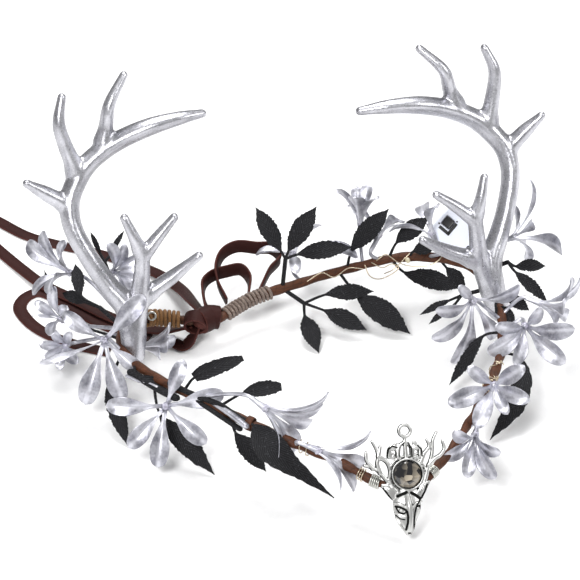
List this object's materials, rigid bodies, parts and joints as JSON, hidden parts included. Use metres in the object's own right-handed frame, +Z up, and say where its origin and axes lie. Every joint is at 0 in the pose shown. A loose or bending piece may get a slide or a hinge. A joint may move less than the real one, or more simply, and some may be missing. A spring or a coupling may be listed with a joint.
{
  "type": "antler headband",
  "caption": "Woodland headband: a vine circlet with silver antlers, silver flowers and black leaves, a leather tie, a deer-head pendant and a small light box.",
  "frame": {"origin": "middle of the headband's box in plan, without the ribbon's two free tails, on the surface it lies on", "axes": "+Z up, +X to the right and -Y towards the front, where the pendant is"},
  "size_m": [0.274, 0.3151, 0.1386],
  "materials": {
    "brown_vine": "paper-bound twisted vine, matt",
    "silver_antler": "satin silver paint on moulded foam",
    "silver_petal": "pearly silver spray on moulded petals",
    "black_leaf": "black pressed cloth with ribs and a frayed edge",
    "grey_twine": "grey-brown waxed twine",
    "tan_cord": "tan waxed cord",
    "brown_leather": "dark red-brown suede-backed lace, satin",
    "antique_silver": "cast alloy, antique silver with blackened hollows",
    "smoky_stone": "cut smoky glass stone",
    "silver_wire": "thin bright wire",
    "white_plastic": "white moulded plastic",
    "black_plastic": "black moulded plastic"
  },
  "bodies": {
    "crown": {"antler_left": "silver_antler", "antler_right": "silver_antler", "battery_box": "white_plastic", "cord_wrap": "tan_cord", "flower_01": "silver_petal", "flower_02": "silver_petal", "flower_03": "silver_petal", "flower_04": "silver_petal", "flower_05": "silver_petal", "flower_06": "silver_petal", "flower_07": "silver_petal", "flower_08": "silver_petal", "flower_09": "silver_petal", "flower_10": "silver_petal", "flower_11": "silver_petal", "flower_12": "silver_petal", "flower_13": "silver_petal", "flower_14": "silver_petal", "flower_15": "silver_petal", "flower_16": "silver_petal", "flower_17": "silver_petal", "flower_18": "silver_petal", "flower_19": "silver_petal", "leaf_back_left": "black_leaf", "leaf_back_middle": "black_leaf", "leaf_back_right": "black_leaf", "leaf_front_far_left": "black_leaf", "leaf_front_flat": "black_leaf", "leaf_front_large": "black_leaf", "leaf_front_left": "black_leaf", "leaf_front_narrow": "black_leaf", "leaf_front_short": "black_leaf", "leaf_front_upper": "black_leaf", "leaf_inner_large": "black_leaf", "leaf_inner_right": "black_leaf", "leaf_inner_small": "black_leaf", "leaf_left_spike": "black_leaf", "leaf_right_inner": "black_leaf", "leaf_right_long": "black_leaf", "pendant": "antique_silver", "pendant_stone": "smoky_stone", "pendant_wire_left": "silver_wire", "pendant_wire_right": "silver_wire", "ribbon_bow": "brown_leather", "ribbon_bow_inner": "brown_leather", "ribbon_knot": "brown_leather", "ribbon_loop_left": "brown_leather", "ribbon_tail_long": "brown_leather", "ribbon_tail_short": "brown_leather", "sprig_back": "black_leaf", "sprig_inner": "black_leaf", "sprig_left": "black_leaf", "sprig_right": "black_leaf", "sprig_right_low": "black_leaf", "sprig_right_spikes": "black_leaf", "twig_left": "black_leaf", "twine_wrap": "grey_twine", "vine": "brown_vine"},
    "button": {"battery_button": "black_plastic"}
  },
  "joints": [
    {"name": "button_press", "type": "slide", "parent": "crown", "child": "button", "axis": [0.2094, 0.7815, -0.5878], "range_m": [0, 0.0008], "stiffness_N_per_m": 20, "springref_m": -0.002}
  ]
}
